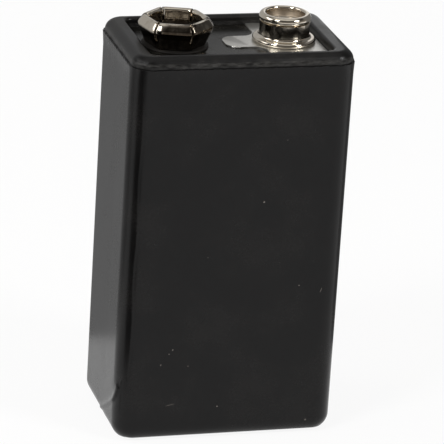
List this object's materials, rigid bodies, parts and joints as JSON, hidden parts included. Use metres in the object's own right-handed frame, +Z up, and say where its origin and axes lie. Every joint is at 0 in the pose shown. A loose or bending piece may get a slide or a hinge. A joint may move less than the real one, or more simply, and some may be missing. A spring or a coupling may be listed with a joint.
{
  "type": "nine volt battery",
  "caption": "Small upright rectangular battery in a black jacket, with a stud and a petalled socket side by side on its recessed top.",
  "frame": {"origin": "middle of the base, on the surface that the battery stands on", "axes": "+Z up the battery, +X from the socket to the stud, +Y from the front face to the back"},
  "size_m": [0.0258, 0.017, 0.0485],
  "materials": {
    "jacket_enamel": "satin black enamel on steel",
    "black_film": "satin black shrink film",
    "deck_board": "smooth dark board",
    "tinned_plate": "dull tinned sheet",
    "bright_nickel": "bright nickel plate, a little warm",
    "rivet_nickel": "nickel plate",
    "spacer_plastic": "moulded, natural colour",
    "nickel_strip": "rolled nickel strip",
    "sleeve_paper": "kraft paper",
    "card": "plain card",
    "base_board": "smooth dark board",
    "cell_steel": "nickel plated deep drawn steel",
    "seal_plastic": "nylon, natural colour"
  },
  "bodies": {
    "root": {"steel_jacket": "jacket_enamel", "film_wrap": "black_film", "top_board": "deck_board", "contact_plate": "tinned_plate", "stud_terminal": "bright_nickel", "stud_rivet": "rivet_nickel", "socket_washer": "bright_nickel", "socket_terminal": "bright_nickel", "socket_rivet": "rivet_nickel", "top_spacer": "spacer_plastic", "positive_lead": "nickel_strip", "negative_lead": "nickel_strip", "top_strap_1": "nickel_strip", "top_strap_2": "nickel_strip", "bottom_strap_1": "nickel_strip", "bottom_strap_2": "nickel_strip", "bottom_strap_3": "nickel_strip", "cell_sleeve": "sleeve_paper", "bottom_pad": "card", "bottom_board": "base_board", "cell_1_can": "cell_steel", "cell_1_seal": "seal_plastic", "cell_1_cap": "cell_steel", "cell_2_can": "cell_steel", "cell_2_seal": "seal_plastic", "cell_2_cap": "cell_steel", "cell_3_can": "cell_steel", "cell_3_seal": "seal_plastic", "cell_3_cap": "cell_steel", "cell_4_can": "cell_steel", "cell_4_seal": "seal_plastic", "cell_4_cap": "cell_steel", "cell_5_can": "cell_steel", "cell_5_seal": "seal_plastic", "cell_5_cap": "cell_steel", "cell_6_can": "cell_steel", "cell_6_seal": "seal_plastic", "cell_6_cap": "cell_steel"}
  },
  "joints": []
}
